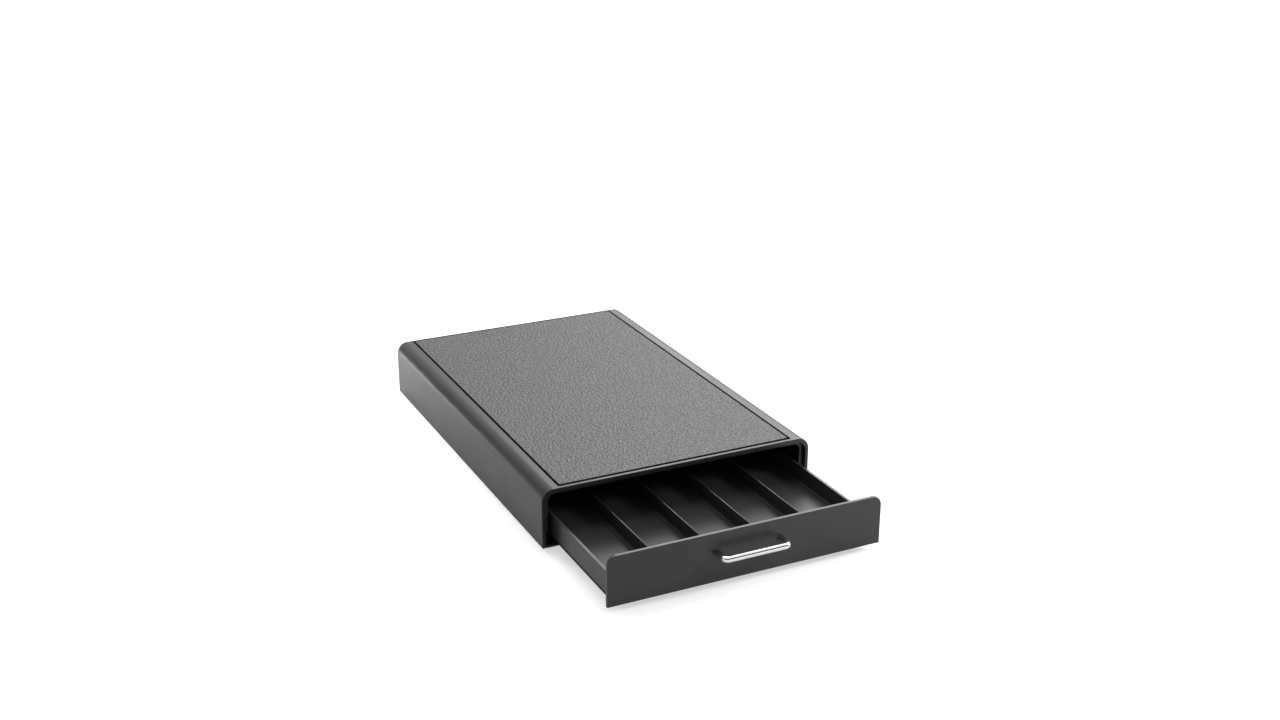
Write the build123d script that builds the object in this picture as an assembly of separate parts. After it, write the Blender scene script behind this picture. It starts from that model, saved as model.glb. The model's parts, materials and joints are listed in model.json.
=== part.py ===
from build123d import *
from math import atan, cos, degrees, pi
import os

os.makedirs("parts", exist_ok=True)

# A low kitchen drawer whose top is a platform for an appliance. The moulded
# housing holds two slide rails; the tray rides in them on two runners, and its
# front panel closes flush in the housing's mouth.
#
# Every piece is drawn in the housing's own axes: X to the right, Y to the back
# from the plane of the housing's mouth, Z up from the housing's bottom edge.
# Drawer pieces are drawn closed. save() puts them all in the part's frame.

# ---------------------------------------------------------------- sizes (mm)
# Housing shell
housing_width = 270.0
housing_depth = 410.0
housing_height = 55.5
side_wall = 3.5
top_wall = 4.0
rear_wall = 3.5
outer_edge_radius = 12.0        # the two long top edges
inner_edge_radius = 9.5         # the mouth's two top corners
mouth_chamfer = 0.5             # broken edge round the mouth

# Ledge behind the mouth that the closed front panel meets
ledge_width = 4.0               # how far it stands in from the side walls
ledge_drop = 3.0                # how far it hangs below the top
ledge_thickness = 4.0

# Ribs under the top
top_rib_thickness = 1.6
top_rib_depth = 3.0
top_rib_pitch = 45.0
top_rib_count = 5

# Mat in the top
mat_side_border = 17.8          # from the housing's side to the mat's recess
mat_front_border = 4.5
mat_back_border = 2.2
mat_groove = 1.2                # the dark line all round the mat
mat_recess = 2.2
mat_proud = 0.2                 # how far the mat stands above the top
mat_corner_radius = 2.0

# Base plate and feet
base_thickness = 2.0
base_gap = 0.2
foot_height = 2.0
foot_radius = 7.0
foot_inset = 18.0               # from the housing's sides, front and back

# Slide rails on the side walls
rail_depth = 5.7                # from the side wall to the rail's inner face
rail_web = 2.4                  # left behind the groove
rail_foot = 5.7                 # height below the groove
rail_cap = 2.5                  # height above the groove
rail_back_space = 6.0           # from the rail's end to the rear wall
rail_tab_height = 9.0
rail_tab_thickness = 2.0
rail_tab_length = 16.0
rail_screw_count = 3
rail_screw_inset = 34.0         # from the rail's ends to its end screws
ledge_seat = 0.3                # from the rail's cap up to the ledge's foot
stop_width = 1.6                # tongue in the groove that stops the drawer
stop_height = 1.2
stop_length = 8.0

# Runners under the tray
runner_thickness = 2.4
runner_width = 12.8
slide_gap = 0.3                 # between a runner and its groove, each way
engaged_length = 100.0          # what stays in the rail at full travel

# Tray
tray_side_gap = 0.8             # from the rail's inner face to the tray's side
tray_wall = 2.5
tray_front_wall = 2.7
tray_wall_top = 20.1            # from the tray's bottom edge to its rim
floor_rise = 3.2                # from the tray's bottom edge to the floor's underside
floor_thickness = 2.0
rear_space = 25.0               # left behind the closed tray
tray_corner_radius = 3.0
under_rib_thickness = 1.5
under_rib_count = 5
boss_radius = 3.0
boss_set_in = 0.6               # how far a boss runs into the tray's side wall

# Dividers, and the low guides on the floor that keep the contents in line
column_count = 5
divider_thickness = 1.4
divider_height = 12.9
divider_edge_share = 0.35       # top edges' radius, as a share of the thickness
divider_slot = 1.0              # depth of the slots in the front and rear walls
divider_gap = 0.1               # a divider's clearance in its slots, each way
pod_rim = 37.0                  # widest circle of what stands in a column
pod_guide_gap = 0.7             # between that circle and a guide
pod_guide_width = 1.5
pod_guide_height = 1.0

# Front panel
panel_thickness = 3.4
panel_recess = 0.3              # closed, its face lies this far inside the mouth
panel_side_gap = 0.7
panel_top_gap = 0.5
panel_bottom = 5.4
panel_edge_radius = 0.6         # soft edge round the panel's face

# Handle
handle_length = 66.6
handle_projection = 16.5
handle_bar_depth = 5.0          # front to back
handle_bar_height = 5.6
handle_bend_radius = 4.5        # on the bar's centre line
handle_edge_radius = 2.3
handle_back_chamfer = 0.8       # on the bar's two back edges
handle_rise = 4.3               # bar's centre above the panel's centre

# Screws. They and their holes have flat sides, which keeps small hidden
# pieces light; a screw and its hole are turned alike, so the gap is even.
screw_sides = 12
screw_radius = 1.25             # rail, base, runner and panel screws
screw_gap = 0.1
flat_head_radius = 2.2
flat_head_height = 1.2
pan_head_radius = 2.5
pan_head_height = 1.4
pan_head_crown = 0.6            # the head's flat top, as a share of its radius
base_screw_grip = 4.0           # into the rail's foot
rail_screw_grip = 2.4           # into the side wall
runner_screw_grip = 4.2         # into the tray's boss and floor
panel_screw_grip = 2.4          # into the front panel
runner_screw_count = 4
runner_screw_inset = 20.0
panel_screw_rise = 8.0          # above the tray's floor
handle_screw_radius = 1.5
handle_screw_grip = 8.0
handle_head_radius = 2.9
handle_head_height = 2.0
handle_head_gap = 0.6           # between the head and the tray's notch

# Where the drawer stands in the stored pose
drawn_out = 127.0

# ----------------------------------------------------------- derived places
half_width = housing_width / 2
inner_half = half_width - side_wall
inner_top = housing_height - top_wall
rear_inner = housing_depth - rear_wall

panel_back = panel_recess + panel_thickness
ledge_front = panel_back + slide_gap
ledge_back = ledge_front + ledge_thickness
ledge_half = inner_half - ledge_width
ledge_under = inner_top - ledge_drop

rail_inner = inner_half - rail_depth
groove_bottom = base_thickness + rail_foot
groove_height = runner_thickness + 2 * slide_gap
rail_top = groove_bottom + groove_height + rail_cap
groove_wall = inner_half - rail_web
rail_front = ledge_front
rail_back = rear_inner - rail_back_space
rail_screw_x = (rail_inner + inner_half) / 2
rail_tab_face = inner_half - rail_tab_thickness
rail_tab_centre_z = rail_top + rail_tab_height / 2

runner_bottom = groove_bottom + slide_gap
runner_top = runner_bottom + runner_thickness
runner_outer = groove_wall - slide_gap
runner_inner = runner_outer - runner_width

tray_half = rail_inner - tray_side_gap
tray_inner_half = tray_half - tray_wall
tray_front = panel_back
tray_length = rear_inner - rear_space - tray_front
tray_rear = tray_front + tray_length
tray_inner_front = tray_front + tray_front_wall
tray_inner_rear = tray_rear - tray_wall
tray_bottom = runner_top
tray_rim = tray_bottom + tray_wall_top
floor_bottom = tray_bottom + floor_rise
floor_top = floor_bottom + floor_thickness
divider_total = (column_count - 1) * divider_thickness
column_width = (2 * tray_inner_half - divider_total) / column_count
column_pitch = column_width + divider_thickness
column_xs = [(i - (column_count - 1) / 2) * column_pitch for i in range(column_count)]
divider_xs = [(a + b) / 2 for a, b in zip(column_xs, column_xs[1:])]
boss_x = tray_inner_half - boss_radius + boss_set_in

# The tongue's back face meets the runner's shoulder at full travel.
stop_back = rail_front + stop_length
full_travel = tray_rear - engaged_length - stop_back
runner_shoulder = tray_rear - engaged_length

panel_width = 2 * (inner_half - panel_side_gap)
panel_top = inner_top - panel_top_gap
panel_height = panel_top - panel_bottom
panel_centre_z = (panel_bottom + panel_top) / 2
handle_z = panel_centre_z + handle_rise
handle_leg_x = handle_length / 2 - handle_bar_depth / 2
handle_bar_y = panel_recess - handle_projection + handle_bar_depth / 2

# The origin is the middle of the footprint, with the drawer drawn out.
front_tip = panel_recess - handle_projection - drawn_out
middle_y = (front_tip + housing_depth) / 2
housing_place = Location((0, -middle_y, foot_height))
drawer_place = Location((0, -middle_y - drawn_out, foot_height))


# -------------------------------------------------------------------- helpers
def box(x0, x1, y0, y1, z0, z1):
    """A block between two opposite corners."""
    centre = ((x0 + x1) / 2, (y0 + y1) / 2, (z0 + z1) / 2)
    return Pos(*centre) * Box(abs(x1 - x0), abs(y1 - y0), abs(z1 - z0))


def even(first, last, count):
    """Evenly spaced places from first to last."""
    step = (last - first) / max(count - 1, 1)
    return [first + i * step for i in range(count)]


def arch(half, height, radius, y0, y1):
    """A solid arch from y0 to y1: upright sides and two rounded top corners."""
    with BuildPart() as part:
        with BuildSketch(Plane.XZ.offset(-y0)):
            with BuildLine():
                Line((-half, 0), (-half, height - radius))
                RadiusArc((-half, height - radius), (-half + radius, height), radius)
                Line((-half + radius, height), (half - radius, height))
                RadiusArc((half - radius, height), (half, height - radius), radius)
                Line((half, height - radius), (half, 0))
                Line((half, 0), (-half, 0))
            make_face()
        extrude(amount=-(y1 - y0))
    return part.part


def stem(radius, z0, z1):
    """A straight many-sided stem from z0 to z1."""
    return extrude(Pos(0, 0, z0) * RegularPolygon(radius, screw_sides), z1 - z0)


def cone(wide, narrow, z_wide, z_narrow):
    """A many-sided stem that narrows evenly, upwards or downwards."""
    height = abs(z_narrow - z_wide)
    lean = degrees(atan((wide - narrow) * cos(pi / screw_sides) / height))
    outline = RegularPolygon(wide, screw_sides)
    upwards = z_narrow > z_wide
    return Pos(0, 0, z_wide) * extrude(outline, height if upwards else -height, taper=lean)


def flat_screw(place, grip, through, gap=0.0):
    """A countersunk screw, its head's face at z=0 and its tip upwards.

    through is the thickness it passes before it grips. With a gap it is the
    hole that the screw goes in.
    """
    shank = screw_radius + gap
    head = cone(flat_head_radius + gap, shank, 0, flat_head_height)
    return place * (head + stem(shank, flat_head_height, through + grip + gap))


def pan_screw(place, shank, head_radius, head_height, length, gap=0.0):
    """A pan-head screw: the head's seat at z=0, the shank upwards."""
    if gap:
        return place * stem(shank + gap, -gap, length + gap)
    waist = -head_height / 2
    crown = cone(head_radius, head_radius * pan_head_crown, waist, -head_height)
    return place * (crown + stem(head_radius, waist, 0) + stem(shank, 0, length))


def save(name, shape, place):
    """Put a piece in the part's frame and write its file."""
    solids = [place * solid for solid in shape.solids()]
    piece = solids[0] if len(solids) == 1 else Compound(children=solids)
    export_step(piece, f"parts/{name}.step")
    print(name, len(solids), "solids", round(sum(s.volume for s in solids)), "mm3")


def mirrored(shape):
    """The same piece on the other side."""
    return shape.mirror(Plane.YZ)


# ------------------------------------------------- places of all the screws
rail_screw_ys = even(rail_front + rail_screw_inset, rail_back - rail_screw_inset, rail_screw_count)
runner_screw_ys = even(tray_front + runner_screw_inset, tray_rear - runner_screw_inset,
                       runner_screw_count)
panel_screw_xs = [x for x in column_xs if abs(x) > handle_length / 2]
to_left = Rotation(0, -90, 0)
to_right = Rotation(0, 90, 0)
to_front = Rotation(90, 0, 0)


def base_screw(side, y, gap=0.0):
    """Up through the base plate into a rail's foot."""
    place = Pos(side * rail_screw_x, y, 0)
    return flat_screw(place, base_screw_grip, base_thickness, gap)


def rail_screw(side, y, gap=0.0):
    """Outwards through a rail's tab into the side wall."""
    turn = to_left if side < 0 else to_right
    place = Pos(side * rail_tab_face, y, rail_tab_centre_z) * turn
    length = rail_tab_thickness + rail_screw_grip
    return pan_screw(place, screw_radius, pan_head_radius, pan_head_height, length, gap)


def runner_screw(side, y, gap=0.0):
    """Up through a runner into a boss under the tray's floor."""
    place = Pos(side * boss_x, y, runner_bottom)
    return flat_screw(place, runner_screw_grip, runner_thickness, gap)


def panel_screw(x, gap=0.0):
    """Forwards through the tray's front wall into the panel."""
    place = Pos(x, tray_inner_front, floor_top + panel_screw_rise) * to_front
    return flat_screw(place, panel_screw_grip, tray_front_wall, gap)


def handle_screw(x, gap=0.0):
    """Forwards through the panel into a leg of the handle."""
    place = Pos(x, panel_back, handle_z) * to_front
    length = panel_thickness + handle_screw_grip
    sizes = (handle_screw_radius, handle_head_radius, handle_head_height, length)
    return pan_screw(place, *sizes, gap)


# ------------------------------------------------------------ housing pieces
def make_housing_shell():
    """Cover: two rounded long edges, ledge round the mouth, ribs inside."""
    outside = arch(half_width, housing_height, outer_edge_radius, 0, housing_depth)
    mouth = outside.faces().sort_by(Axis.Y)[0].edges().filter_by(GeomType.LINE)
    top_edge = mouth.sort_by(Axis.Z)[-1]
    outside = chamfer([top_edge], mouth_chamfer)
    hollow = arch(inner_half, inner_top, inner_edge_radius, -1, rear_inner)
    shell = outside - hollow

    # The ledge is the mouth's own outline, with a lower and narrower opening.
    ledge = arch(inner_half, inner_top, inner_edge_radius, ledge_front, ledge_back)
    ledge_radius = inner_edge_radius - ledge_drop
    way_through = arch(ledge_half, ledge_under, ledge_radius, ledge_front - 1, ledge_back + 1)
    under = box(-half_width, half_width, ledge_front - 1, ledge_back + 1, -1, rail_top + ledge_seat)
    shell = shell + (ledge - way_through - under)

    for x in even(-top_rib_pitch * (top_rib_count - 1) / 2,
                  top_rib_pitch * (top_rib_count - 1) / 2, top_rib_count):
        half = top_rib_thickness / 2
        low = inner_top - top_rib_depth
        shell = shell + box(x - half, x + half, ledge_back, rear_inner, low, inner_top)

    recess = mat_outline(0, housing_height + 1, housing_height - mat_recess)
    shell = shell - recess
    holes = [rail_screw(side, y, screw_gap) for side in (-1, 1) for y in rail_screw_ys]
    return shell - holes


def mat_outline(shrink, top, bottom):
    """The mat's rounded rectangle, shrunk all round, from bottom to top."""
    x = half_width - mat_side_border - shrink
    y0 = mat_front_border + shrink
    y1 = housing_depth - mat_back_border - shrink
    with BuildPart() as part:
        with BuildSketch(Plane.XY.offset(bottom)):
            with Locations((0, (y0 + y1) / 2)):
                RectangleRounded(2 * x, y1 - y0, mat_corner_radius)
        extrude(amount=top - bottom)
    return part.part


def make_top_mat():
    """Textured panel that lies in the top's recess."""
    return mat_outline(mat_groove, housing_height + mat_proud, housing_height - mat_recess)


def foot_places():
    """Middles of the four feet."""
    x = half_width - foot_inset
    ys = (foot_inset, housing_depth - foot_inset)
    return [(side * x, y) for y in ys for side in (-1, 1)]


def make_base_plate():
    """Bottom plate between the walls, with the screws' holes."""
    x = inner_half - base_gap
    plate = box(-x, x, 0, rear_inner - base_gap, 0, base_thickness)
    return plate - [base_screw(side, y, screw_gap) for side in (-1, 1) for y in rail_screw_ys]


def make_foot(px, py):
    """Rubber foot: a round pad stuck under the plate."""
    return Pos(px, py, -foot_height / 2) * Cylinder(foot_radius, foot_height)


def make_rail():
    """Right slide rail: a C-shaped strip with tabs and a stop tongue."""
    rail = box(rail_inner, inner_half, rail_front, rail_back, base_thickness, rail_top)
    groove_top = groove_bottom + groove_height
    rail = rail - box(rail_inner - 1, groove_wall, rail_front - 1, rail_back + 1,
                      groove_bottom, groove_top)
    tongue_in = groove_wall - stop_width
    rail = rail + box(tongue_in, groove_wall, rail_front, stop_back,
                      groove_top - stop_height, groove_top)
    for y in rail_screw_ys:
        half = rail_tab_length / 2
        rail = rail + box(rail_tab_face, inner_half, y - half, y + half,
                          rail_top, rail_top + rail_tab_height)
    holes = [base_screw(1, y, screw_gap) for y in rail_screw_ys]
    holes += [rail_screw(1, y, screw_gap) for y in rail_screw_ys]
    return rail - holes


# ------------------------------------------------------------- drawer pieces
def make_runner():
    """Right runner: a flat strip, stepped so that only its rear end stops."""
    runner = box(runner_inner, runner_outer, tray_front, tray_rear, runner_bottom, runner_top)
    step_in = groove_wall - stop_width - slide_gap
    step_bottom = groove_bottom + groove_height - stop_height - slide_gap
    runner = runner - box(step_in, runner_outer + 1, tray_front - 1, runner_shoulder,
                          step_bottom, runner_top + 1)
    return runner - [runner_screw(1, y, screw_gap) for y in runner_screw_ys]


def make_tray():
    """Open tray: walls, raised floor, ribs and screw bosses under it."""
    outline = box(-tray_half, tray_half, tray_front, tray_rear, tray_bottom, tray_rim)
    rear_corners = outline.edges().filter_by(Axis.Z).group_by(Axis.Y)[-1]
    tray = fillet(rear_corners, tray_corner_radius)
    inside = (-tray_inner_half, tray_inner_half, tray_inner_front, tray_inner_rear)
    tray = tray - box(*inside, floor_top, tray_rim + 1)
    tray = tray - box(*inside, tray_bottom - 1, floor_bottom)

    # Ribs under the floor, one below each divider and a few from side to side.
    half = under_rib_thickness / 2
    ribs = [box(x - half, x + half, tray_inner_front, tray_inner_rear, tray_bottom, floor_bottom)
            for x in divider_xs]
    for y in even(tray_inner_front, tray_inner_rear, under_rib_count + 2)[1:-1]:
        ribs.append(box(-tray_inner_half, tray_inner_half, y - half, y + half,
                        tray_bottom, floor_bottom))
    bosses = [Pos(side * boss_x, y, (tray_bottom + floor_bottom) / 2)
              * Cylinder(boss_radius, floor_rise)
              for side in (-1, 1) for y in runner_screw_ys]

    # Low guides on the floor keep what stands in a column in its middle.
    guides = []
    for x in column_xs:
        for side in (-1, 1):
            near = x + side * (pod_rim / 2 + pod_guide_gap)
            far = near + side * pod_guide_width
            guides.append(box(near, far, tray_inner_front, tray_inner_rear,
                              floor_top, floor_top + pod_guide_height))
    tray = tray + ribs + bosses + guides

    cuts = []
    slot = divider_thickness / 2 + divider_gap
    for x in divider_xs:
        cuts.append(box(x - slot, x + slot, tray_inner_front - divider_slot,
                        tray_inner_rear + divider_slot, floor_top, tray_rim + 1))
    notch = handle_head_radius + handle_head_gap
    for x in (-handle_leg_x, handle_leg_x):
        middle = (tray_front + tray_inner_front) / 2
        cuts.append(Pos(x, middle, handle_z) * to_front * Cylinder(notch, tray_front_wall + 1))
    cuts += [panel_screw(x, screw_gap) for x in panel_screw_xs]
    cuts += [runner_screw(side, y, screw_gap) for side in (-1, 1) for y in runner_screw_ys]
    return tray - cuts


def make_divider(x):
    """One divider, its ends in the slots of the front and rear walls."""
    reach = divider_slot - divider_gap
    half = divider_thickness / 2
    plate = box(x - half, x + half, tray_inner_front - reach, tray_inner_rear + reach,
                floor_top, floor_top + divider_height)
    top = plate.edges().filter_by(Axis.Y).group_by(Axis.Z)[-1]
    return fillet(top, divider_thickness * divider_edge_share)


def make_front_panel():
    """Flat panel with rounded top corners and a soft edge round its face."""
    radius = inner_edge_radius - panel_side_gap
    panel = arch(panel_width / 2, panel_height, radius, panel_recess, panel_back)
    face = panel.faces().sort_by(Axis.Y)[0]
    panel = Pos(0, 0, panel_bottom) * fillet(face.edges(), panel_edge_radius)
    cuts = [panel_screw(x, screw_gap) for x in panel_screw_xs]
    cuts += [handle_screw(x, screw_gap) for x in (-handle_leg_x, handle_leg_x)]
    return panel - cuts


def make_handle():
    """Bow handle: a bar, rounded in front and flat behind, swept in a bow."""
    x = handle_leg_x
    with BuildPart() as part:
        with BuildLine(Plane.XY.offset(handle_z)) as path:
            corners = [(-x, panel_recess), (-x, handle_bar_y), (x, handle_bar_y), (x, panel_recess)]
            FilletPolyline(*corners, radius=handle_bend_radius)
        foot = Plane(origin=(-x, panel_recess, handle_z), x_dir=(1, 0, 0), z_dir=(0, -1, 0))
        with BuildSketch(foot) as section:
            Rectangle(handle_bar_depth, handle_bar_height)
            outer = section.vertices().group_by(Axis.X)[0]
            fillet(outer, handle_edge_radius)
            chamfer(section.vertices().group_by(Axis.X)[-1], handle_back_chamfer)
        sweep(path=path.line)
    return part.part - [handle_screw(side * x, screw_gap) for side in (-1, 1)]


def group(solids):
    """Identical loose pieces in one file."""
    return Compound(children=[s for solid in solids for s in solid.solids()])


# --------------------------------------------------------- write every piece
rail = make_rail()
runner = make_runner()
sides = (-1, 1)

save("housing_shell", make_housing_shell(), housing_place)
save("top_mat", make_top_mat(), housing_place)
save("base_plate", make_base_plate(), housing_place)
save("right_rail", rail, housing_place)
save("left_rail", mirrored(rail), housing_place)
foot_names = ("front_left_foot", "front_right_foot", "rear_left_foot", "rear_right_foot")
for name, (px, py) in zip(foot_names, foot_places()):
    save(name, make_foot(px, py), housing_place)
save("base_screws", group([base_screw(s, y) for s in sides for y in rail_screw_ys]), housing_place)
save("rail_screws", group([rail_screw(s, y) for s in sides for y in rail_screw_ys]), housing_place)

save("drawer_tray", make_tray(), drawer_place)
save("front_panel", make_front_panel(), drawer_place)
save("right_runner", runner, drawer_place)
save("left_runner", mirrored(runner), drawer_place)
for number, x in enumerate(divider_xs, start=1):
    save(f"divider_{number}", make_divider(x), drawer_place)
save("handle", make_handle(), drawer_place)
save("handle_screws", group([handle_screw(s * handle_leg_x) for s in sides]), drawer_place)
save("panel_screws", group([panel_screw(x) for x in panel_screw_xs]), drawer_place)
save("runner_screws", group([runner_screw(s, y) for s in sides for y in runner_screw_ys]),
     drawer_place)

print("travel from the stored pose, m: in", -drawn_out / 1000, "out",
      round((full_travel - drawn_out) / 1000, 4))
print("column boxes, housing axes: x", [round(x, 2) for x in column_xs], "y",
      round(tray_inner_front, 2), round(tray_inner_rear, 2), "z", round(floor_top, 2))
print("shift of the housing and drawer:", round(-middle_y, 3), round(-middle_y - drawn_out, 3))
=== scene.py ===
# %% [markdown]
# # A low kitchen drawer, dressed for a studio picture
# The drawer is a moulded black housing with a grained mat let into its top, and a tray that slides
# out behind a flat charcoal panel with a chrome bow handle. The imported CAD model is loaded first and
# stays as the frame: every new surface below takes its place from it, so nothing has to be fitted.

# %% Load the frame
import json
from math import radians

import bmesh
import bpy
import numpy as np
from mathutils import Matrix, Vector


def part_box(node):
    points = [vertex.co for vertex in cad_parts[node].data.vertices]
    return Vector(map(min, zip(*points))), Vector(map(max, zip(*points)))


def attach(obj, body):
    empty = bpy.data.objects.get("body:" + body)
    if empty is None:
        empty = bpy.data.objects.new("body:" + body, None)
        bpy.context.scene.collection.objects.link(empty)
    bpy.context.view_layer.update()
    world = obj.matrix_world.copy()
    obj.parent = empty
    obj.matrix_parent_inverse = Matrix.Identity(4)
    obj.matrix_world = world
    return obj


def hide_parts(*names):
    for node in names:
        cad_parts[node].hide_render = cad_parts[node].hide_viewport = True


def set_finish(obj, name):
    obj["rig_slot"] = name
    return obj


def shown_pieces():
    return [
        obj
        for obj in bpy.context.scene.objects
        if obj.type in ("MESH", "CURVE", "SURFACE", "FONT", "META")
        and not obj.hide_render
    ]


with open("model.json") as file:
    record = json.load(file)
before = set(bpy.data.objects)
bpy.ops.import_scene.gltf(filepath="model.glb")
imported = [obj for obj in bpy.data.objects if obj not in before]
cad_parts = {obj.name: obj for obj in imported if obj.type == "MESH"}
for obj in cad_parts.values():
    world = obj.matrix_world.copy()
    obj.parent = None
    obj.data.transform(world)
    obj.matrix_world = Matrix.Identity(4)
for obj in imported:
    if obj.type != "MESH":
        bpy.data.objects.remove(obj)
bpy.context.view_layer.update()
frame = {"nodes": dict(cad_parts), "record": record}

# %% [markdown]
# ## Sizes
# A maker thinks of such a part in millimetres, so the sizes are written that way and turned into
# Blender's metres once, when a mesh is made. The housing's own axes start at its mouth: X runs to the
# right, Y to the back and Z up from its bottom edge. The drawer's pieces use the same axes, as if the
# drawer were closed. The two origins could be typed in, but they are read from the CAD pieces, one for
# what stands still and one for what slides, so the new surfaces follow the frame.

# %% Origins and main sizes
MM = 0.001
housing_at = np.array(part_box("housing_shell")[0]) / MM * (0, 1, 1)
PANEL_RECESS, PANEL_LOW = 0.3, 5.4      # the panel's face, in from the mouth, and its lower edge
drawer_at = np.array(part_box("front_panel")[0]) / MM * (0, 1, 1) - (0, PANEL_RECESS, PANEL_LOW)

HALF, DEPTH, HEIGHT = 135.0, 410.0, 55.5
SIDE_WALL, TOP_WALL, REAR_WALL = 3.5, 4.0, 3.5
INNER_HALF, INNER_TOP, REAR_INNER = HALF - SIDE_WALL, HEIGHT - TOP_WALL, DEPTH - REAR_WALL
EDGE, INNER_EDGE = 12.0, 9.5            # radii of the long top edges, outside and inside
print("housing origin", housing_at.round(3), "drawer origin", drawer_at.round(3))

# %% [markdown]
# ## From a sheet of points to faces
# Every new surface here is a grid: rows and columns of points worked out by a formula. The faces of
# any grid can be written down once, each one joining four neighbours. A flat end is one many-sided
# face instead. Modelling by hand would give the same shapes, but a formula can be read and changed.

# %% Sheets and flat ends
def sheet(points, closed=False):
    """Grid faces over points[row, column]; closed joins the last column to the first one."""
    index = np.arange(points.shape[0] * points.shape[1]).reshape(points.shape[:2])
    if closed:
        index = np.hstack([index, index[:, :1]])
    corners = [index[:-1, :-1], index[1:, :-1], index[1:, 1:], index[:-1, 1:]]
    return points.reshape(-1, 3), np.stack(corners, axis=-1).reshape(-1, 4)


def flat_end(loop):
    """One flat face over a closed loop of points."""
    return loop, np.arange(len(loop))[None]


def capped(rows):
    """Rows of closed loops joined to a tube, with a flat face over the first and the last loop."""
    return [sheet(rows, closed=True), flat_end(rows[0]), flat_end(rows[-1])]


print("a grid of 3 by 4 points has", len(sheet(np.zeros((3, 4, 3)))[1]), "faces")

# %% [markdown]
# ## One closed skin
# A moulding is one closed body, and so is each mesh here: sheets that share an edge are welded along
# it, and Blender turns all faces outwards. A mould always leaves its edges a little soft. Extra rows of
# points could round each edge, but a narrow bevel modifier does it for all of them at once and keeps
# the mesh below it plain. Weighted normals then keep large flat faces evenly shaded up to their rims.

# %% A welded skin
WELD = 2e-6                             # metres within which two points become one
SHARP = radians(40)                     # an edge that turns by more than this is kept or bevelled
LARGE_LEAD = 90                         # 50 is neutral; more lets large faces rule the shading


def skin(name, sheets, origin, soften=0.0, steps=2):
    """Weld sheets (in mm, from origin) into one mesh in metres, linked as an object.

    soften is the width of the soft edges in mm, and steps the facets across them.
    """
    starts = np.cumsum([0] + [len(points) for points, _ in sheets])
    points = (np.vstack([points for points, _ in sheets]) + origin) * MM
    faces = [row for (_, f), start in zip(sheets, starts) for row in (f + start).tolist()]
    mesh = bpy.data.meshes.new(name)
    mesh.from_pydata(points.tolist(), [], faces)
    work = bmesh.new()
    work.from_mesh(mesh)
    bmesh.ops.remove_doubles(work, verts=work.verts, dist=WELD)
    bmesh.ops.dissolve_degenerate(work, edges=work.edges, dist=WELD)
    bmesh.ops.recalc_face_normals(work, faces=work.faces)
    loose = sum(not edge.is_manifold for edge in work.edges)
    work.to_mesh(mesh)
    work.free()
    mesh.shade_smooth()
    made = bpy.data.objects.new(name, mesh)
    bpy.context.scene.collection.objects.link(made)
    if soften:
        bevel = made.modifiers.new("soft edges", "BEVEL")
        bevel.width, bevel.segments, bevel.limit_method = soften * MM, steps, "ANGLE"
        bevel.angle_limit = SHARP
    made.modifiers.new("even shading", "WEIGHTED_NORMAL").weight = LARGE_LEAD
    print(f"{name}: {len(mesh.vertices)} points, {len(mesh.polygons)} faces, {loose} open edges")
    return made


def belongs(piece, body, slot, *nodes):
    """The piece moves with a body, has a finish by name, and stands for CAD nodes."""
    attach(piece, body)
    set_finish(piece, slot)
    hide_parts(*nodes)


print("points within", WELD / MM, "mm are welded")

# %% [markdown]
# ## Outlines that everything shares
# The housing, its mouth and the front panel all have one outline: upright sides, two round corners
# and a flat top, like a low arch. Only the right half or the left half is worked out, and the other is
# its mirror image, so both sides of the object are sure to be alike. Blender's curves could draw such
# an outline too, but a plain array can be stretched, lifted and joined to the next one in one line.

# %% Arcs and arches
ARC_STEPS, FAN = 24, 6                  # facets in a large and in a small quarter circle
FLIP = (-1, 1)                          # turns an outline round to the other side


def arc(cx, cy, radius, start, end, steps=ARC_STEPS):
    """Points on a circle round (cx, cy) from one angle to another, in degrees."""
    angle = np.radians(np.linspace(start, end, steps + 1))
    return np.stack([cx + radius * np.cos(angle), cy + radius * np.sin(angle)], axis=-1)


def arch(half, top, radius, foot=0.0, shares=()):
    """Upright, quarter circle, flat top, quarter circle, upright, as (x, z) from left to right.

    shares are extra points on the flat top, as parts of its half length.
    """
    across = np.array([(-share * (half - radius), top) for share in shares]).reshape(-1, 2)
    left = np.vstack([[(-half, foot)], arc(radius - half, top - radius, radius, 180, 90), across])
    return np.vstack([left, (left * FLIP)[::-1]])


def upright(outline, y):
    """An (x, z) outline stood up in the plane y."""
    return np.insert(outline, 1, y, axis=1)


def level(outline, z):
    """An (x, y) outline laid at height z; z may differ from point to point."""
    return np.column_stack([outline, np.broadcast_to(z, len(outline))])


print("arch of the mouth:", len(arch(INNER_HALF, INNER_TOP, INNER_EDGE)), "points")

# %% [markdown]
# ## Blocks and turned shapes
# Ribs and guides are plain bars, and feet, bosses and screws are turned shapes, as from a lathe.
# Blender's own cube and Spin tool make both, but they leave an object to be placed and joined. Here
# both are grids like all the rest, so one weld takes them into the piece that they belong to.

# %% Blocks and turned shapes
SIDES = 48                              # facets in a full turn


def block(x0, x1, y0, y1, z0, z1):
    """The six faces of a box between two opposite corners."""
    loop = np.array([(x0, y0), (x1, y0), (x1, y1), (x0, y1)])
    return capped(np.stack([level(loop, z0), level(loop, z1)]))


def rings(radius, angle, z, cx=0.0, cy=0.0):
    """Circles of points round (cx, cy), one for each row of radius and z."""
    x, y = cx + radius * np.cos(angle), cy + radius * np.sin(angle)
    return np.stack(np.broadcast_arrays(x, y, z), axis=-1)


def turned(profile, cx, cy, sides=SIDES):
    """A profile of (radius, z) turned about an upright axis, closed at both ends by a flat face."""
    angle = np.linspace(0, 2 * np.pi, sides, endpoint=False)
    radius, z = np.asarray(profile, float).T[:, :, None]
    return capped(rings(radius, angle, z, cx, cy))


print("a block is made of", len(block(0, 1, 0, 1, 0, 1)), "sheets")

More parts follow.
